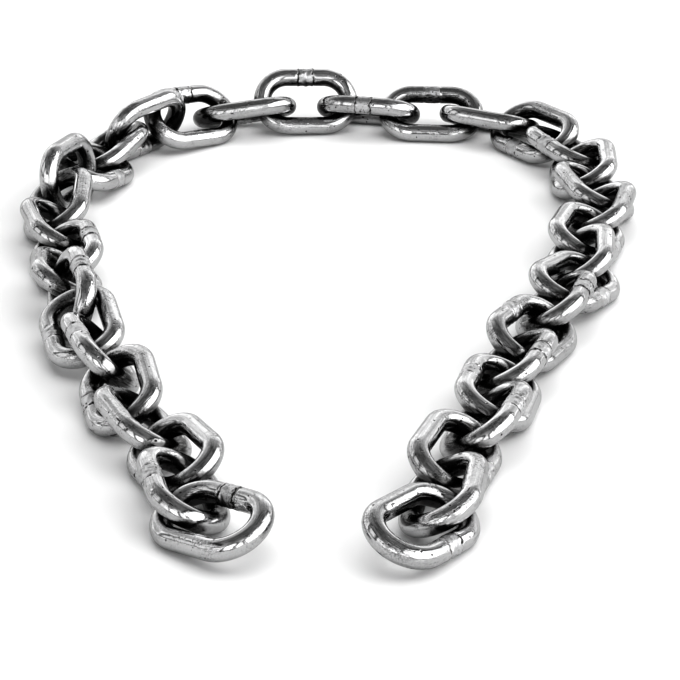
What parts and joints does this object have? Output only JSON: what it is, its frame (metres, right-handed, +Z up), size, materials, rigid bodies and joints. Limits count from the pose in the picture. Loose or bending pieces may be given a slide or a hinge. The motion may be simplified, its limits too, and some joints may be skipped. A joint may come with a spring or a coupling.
{
  "type": "anchor chain length",
  "caption": "Length of polished steel anchor chain, welded oval links laid on the floor in a horseshoe with both end links free.",
  "frame": {"origin": "on the floor, under the middle of the chain's outline as seen from above", "axes": "+Z up from the floor, +Y from the open end of the horseshoe to its bend, +X to the side of link_38's arm"},
  "size_m": [0.3222, 0.5524, 0.0406],
  "materials": {
    "polished_steel": "polished"
  },
  "bodies": {
    "root": {"link_01": "polished_steel", "link_02": "polished_steel", "link_03": "polished_steel", "link_04": "polished_steel", "link_05": "polished_steel", "link_06": "polished_steel", "link_07": "polished_steel", "link_08": "polished_steel", "link_09": "polished_steel", "link_10": "polished_steel", "link_11": "polished_steel", "link_12": "polished_steel", "link_13": "polished_steel", "link_14": "polished_steel", "link_15": "polished_steel", "link_16": "polished_steel", "link_17": "polished_steel", "link_18": "polished_steel", "link_19": "polished_steel", "link_20": "polished_steel", "link_21": "polished_steel", "link_22": "polished_steel", "link_23": "polished_steel", "link_24": "polished_steel", "link_25": "polished_steel", "link_26": "polished_steel", "link_27": "polished_steel", "link_28": "polished_steel", "link_29": "polished_steel", "link_30": "polished_steel", "link_31": "polished_steel", "link_32": "polished_steel", "link_33": "polished_steel", "link_34": "polished_steel", "link_35": "polished_steel", "link_36": "polished_steel", "link_37": "polished_steel", "link_38": "polished_steel"}
  },
  "joints": []
}
